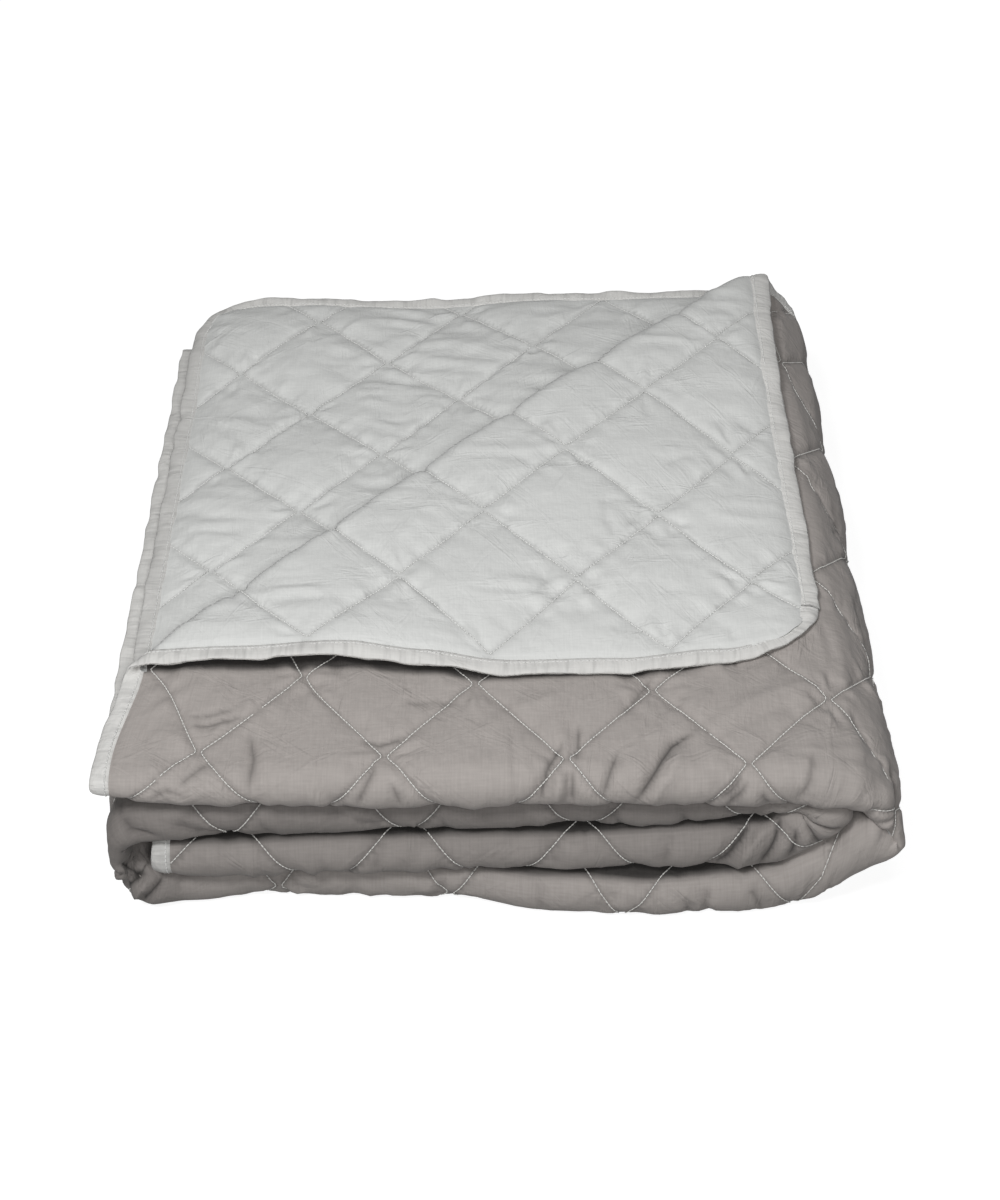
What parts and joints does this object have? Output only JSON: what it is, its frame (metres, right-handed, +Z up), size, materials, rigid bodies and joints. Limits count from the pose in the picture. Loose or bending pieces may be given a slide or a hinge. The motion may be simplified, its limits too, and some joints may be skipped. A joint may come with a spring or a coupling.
{
  "type": "folded coverlet",
  "caption": "Quilted double-faced bed coverlet, folded into a soft pack with one corner of its top layer turned over and a bound edge all round.",
  "frame": {"origin": "under the middle of the folded pack, on the surface that it lies on", "axes": "+X to the right along the folded front, +Y from the front folds to the back, +Z up"},
  "size_m": [0.611, 0.6116, 0.1924],
  "materials": {
    "face_cloth": "matte woven cotton, taupe",
    "reverse_cloth": "matte woven cotton, pale grey",
    "binding": "matte woven cotton tape, pale grey"
  },
  "bodies": {
    "root": {"face_cloth": "face_cloth", "reverse_cloth": "reverse_cloth", "binding": "binding"}
  },
  "joints": []
}
